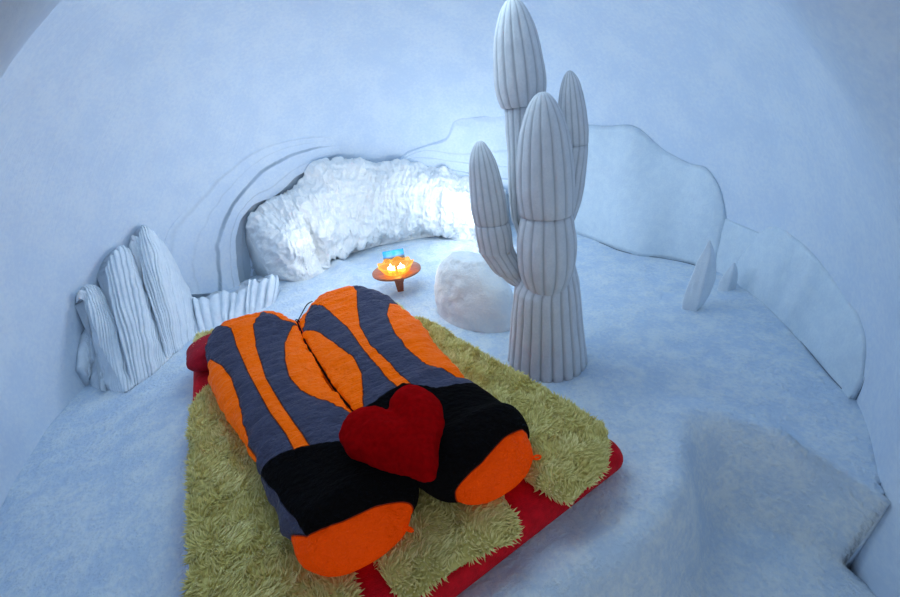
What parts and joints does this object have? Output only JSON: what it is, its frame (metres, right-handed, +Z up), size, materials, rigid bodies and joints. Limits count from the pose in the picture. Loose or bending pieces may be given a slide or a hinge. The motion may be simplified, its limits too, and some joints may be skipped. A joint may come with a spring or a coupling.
{
  "type": "igloo with a furnished bedroom inside",
  "caption": "Hollow domed snow house with an arched doorway, and a bedroom inside with carved snow figures, a made bed and a little round table.",
  "frame": {"origin": "middle of the round room, on the ground under the walls", "axes": "+Z up; the doorway opens towards -Y, so +Y points from the doorway into the room"},
  "size_m": [5.7, 5.6998, 2.9],
  "materials": {
    "snow_wall": "wind-packed snow, matt, with faint curved scrape marks and fine grain",
    "snow_floor": "trodden packed snow, matt, softly uneven",
    "carved_snow": "carved packed snow, matt, chiselled and rasped",
    "table_wood": "red-brown stained wood, satin",
    "dish_glass": "clear glass, lit yellow by the candles in it",
    "candle_wax": "lit white wax, glowing",
    "holder_acrylic": "clear acrylic",
    "card_print": "plain blue printed card",
    "mattress_cover": "smooth bright red woven cover",
    "pillow_cover": "smooth dark red woven cover",
    "sheepskin": "long matted wool, cream yellow with greenish hollows",
    "bag_shell": "thin quilted nylon in orange, slate grey and black panels, slightly shiny",
    "heart_plush": "short-pile red plush"
  },
  "bodies": {
    "root": {"wall_right_front": "snow_wall", "wall_right_back": "snow_wall", "wall_back": "snow_wall", "wall_left_back": "snow_wall", "wall_left_front": "snow_wall", "door_jamb_left": "snow_wall", "door_jamb_right": "snow_wall", "door_head": "snow_wall", "dome_crown": "snow_wall", "platform_left": "snow_floor", "platform_back": "snow_floor", "platform_right": "snow_floor", "entrance_floor": "snow_floor", "cactus_trunk": "carved_snow", "cactus_front_stem": "carved_snow", "cactus_tall_stem": "carved_snow", "cactus_left_arm": "carved_snow", "cactus_right_arm": "carved_snow", "columns_low": "carved_snow", "columns_middle": "carved_snow", "columns_tall": "carved_snow", "fluted_skirt": "carved_snow", "ridge_left": "carved_snow", "ridge_right": "carved_snow", "strata_wall": "carved_snow", "mesa_behind_ridge": "carved_snow", "mesa_behind_cactus": "carved_snow", "mesa_low": "carved_snow", "mesa_right": "carved_snow", "blade_tall": "carved_snow", "blade_small": "carved_snow", "snow_boulder": "carved_snow", "table_top": "table_wood", "table_leg": "table_wood", "glass_dish": "dish_glass", "candles": "candle_wax", "card_holder": "holder_acrylic", "picture_card": "card_print", "mattress": "mattress_cover", "head_pillow": "pillow_cover", "sheepskin_left": "sheepskin", "sheepskin_middle": "sheepskin", "sheepskin_right": "sheepskin", "sleeping_bag_left": "bag_shell", "sleeping_bag_right": "bag_shell", "heart_cushion": "heart_plush"}
  },
  "joints": []
}
